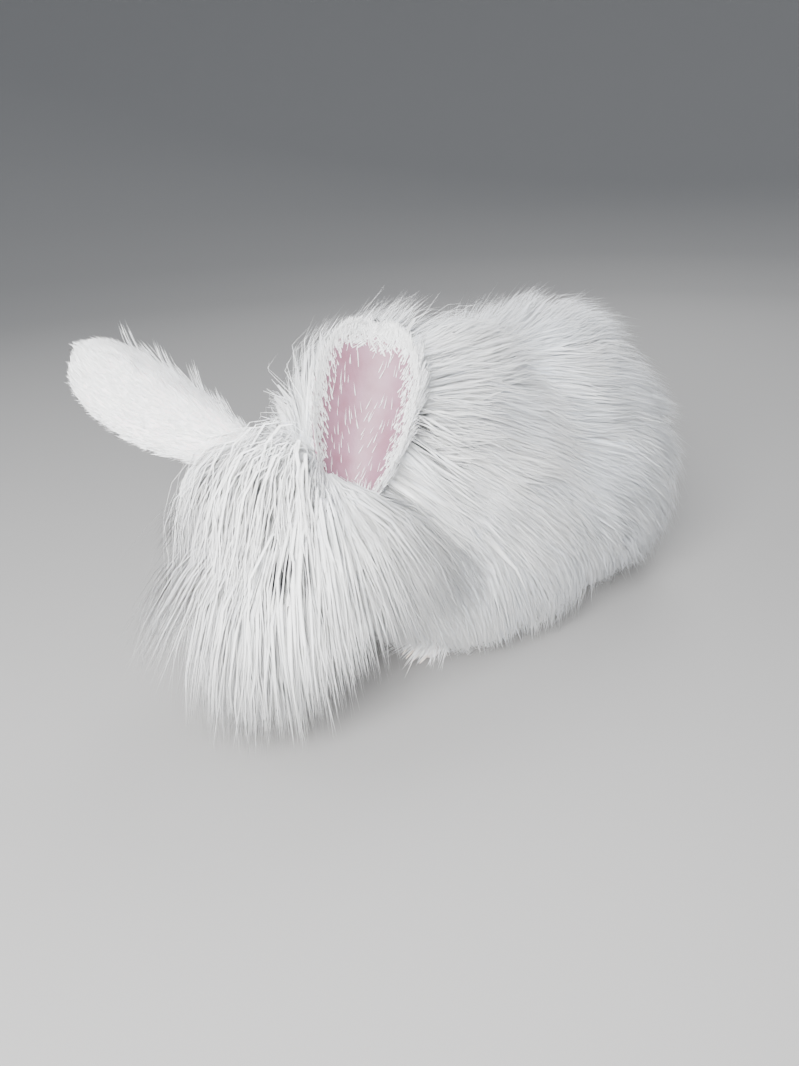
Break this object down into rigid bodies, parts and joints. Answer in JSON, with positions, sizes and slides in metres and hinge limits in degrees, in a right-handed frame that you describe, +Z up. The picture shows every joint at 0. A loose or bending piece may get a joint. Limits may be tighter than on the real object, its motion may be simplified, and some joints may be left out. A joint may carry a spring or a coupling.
{
  "type": "angora rabbit",
  "caption": "Life-size crouched angora rabbit with long white wool, a fringe over its face and broad cupped ears held apart.",
  "frame": {"origin": "bottom centre of the bounding box, on the floor", "axes": "+Z up, the rabbit faces -Y, its left side is +X"},
  "size_m": [0.2438, 0.49, 0.2431],
  "materials": {
    "white_wool": "soft matte wool",
    "white_fur": "soft matte fur",
    "ear_skin": "thin pink skin under sparse down",
    "ruby_eye": "wet and clear"
  },
  "bodies": {
    "root": {"torso": "white_wool", "neck": "white_wool", "head": "white_fur", "tail": "white_wool", "ear_left": "ear_skin", "ear_right": "ear_skin", "eye_left": "ruby_eye", "eye_right": "ruby_eye", "leg_front_left": "white_fur", "leg_front_right": "white_fur", "leg_hind_left": "white_fur", "leg_hind_right": "white_fur"}
  },
  "joints": []
}
